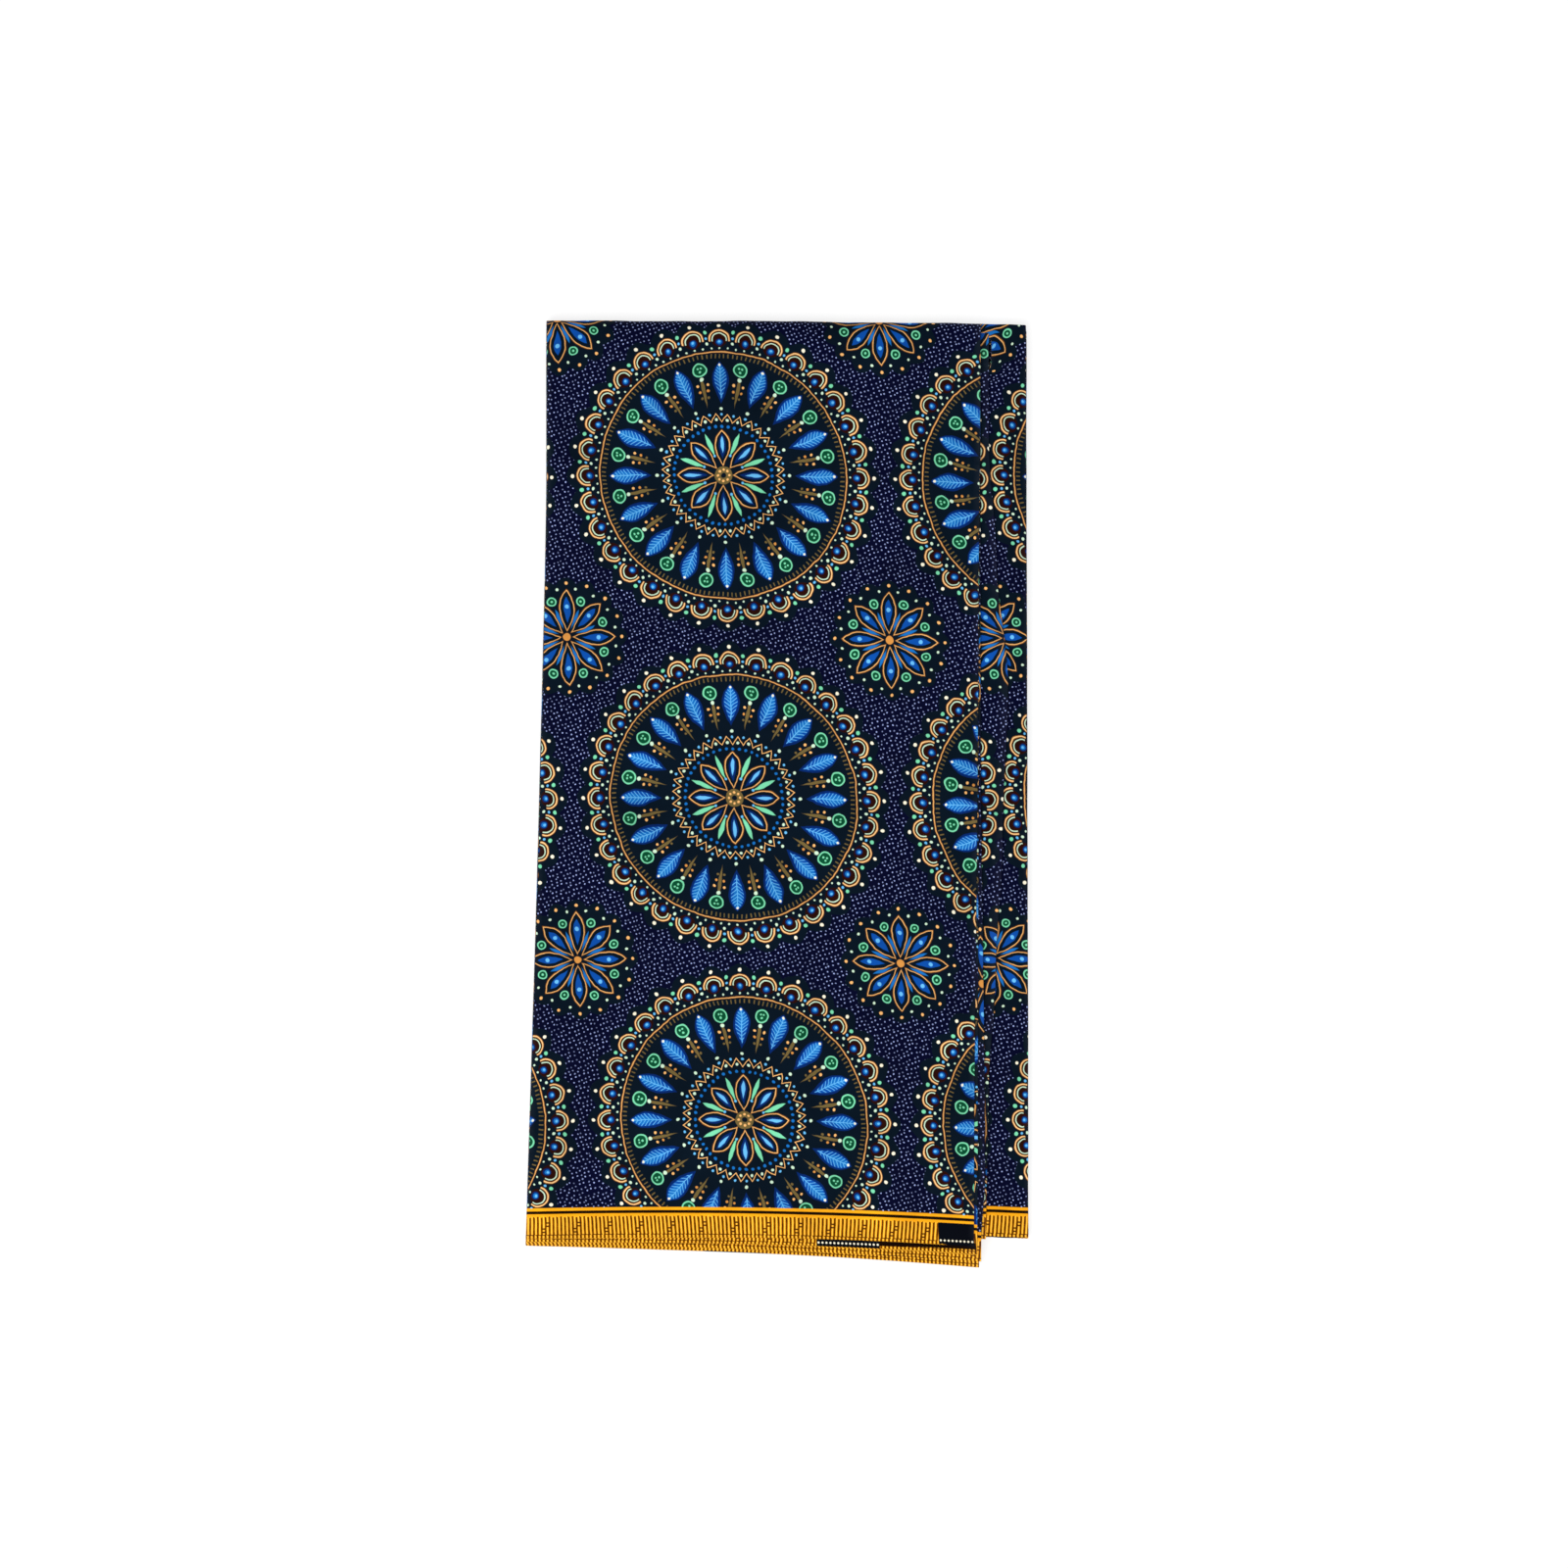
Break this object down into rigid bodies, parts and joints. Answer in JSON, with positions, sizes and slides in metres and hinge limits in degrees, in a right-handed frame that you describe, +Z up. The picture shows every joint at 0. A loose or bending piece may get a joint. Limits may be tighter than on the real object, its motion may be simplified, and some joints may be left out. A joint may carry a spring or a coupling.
{
  "type": "folded length of wax print cotton cloth",
  "caption": "Length of wax print cotton folded into a flat pack, with a soft round fold at one end, fanned selvedges at the other and layered folds along its sides.",
  "frame": {"origin": "middle of the pack's box, on the plane that it lies on", "axes": "+Y along the pack towards its round fold, +X across it towards the side where the front panel stops short, +Z up, away from the surface that it lies on"},
  "size_m": [0.3188, 0.5994, 0.02],
  "materials": {
    "printed_cotton": "smooth plain-weave cotton with a faint glaze, printed navy, violet, blue, green and gold, with a gold comb-striped border along each selvedge"
  },
  "bodies": {
    "root": {"hidden_layers": "printed_cotton", "loose_ply": "printed_cotton", "fourth_ply": "printed_cotton", "third_ply": "printed_cotton", "second_ply": "printed_cotton", "front_ply": "printed_cotton"}
  },
  "joints": []
}
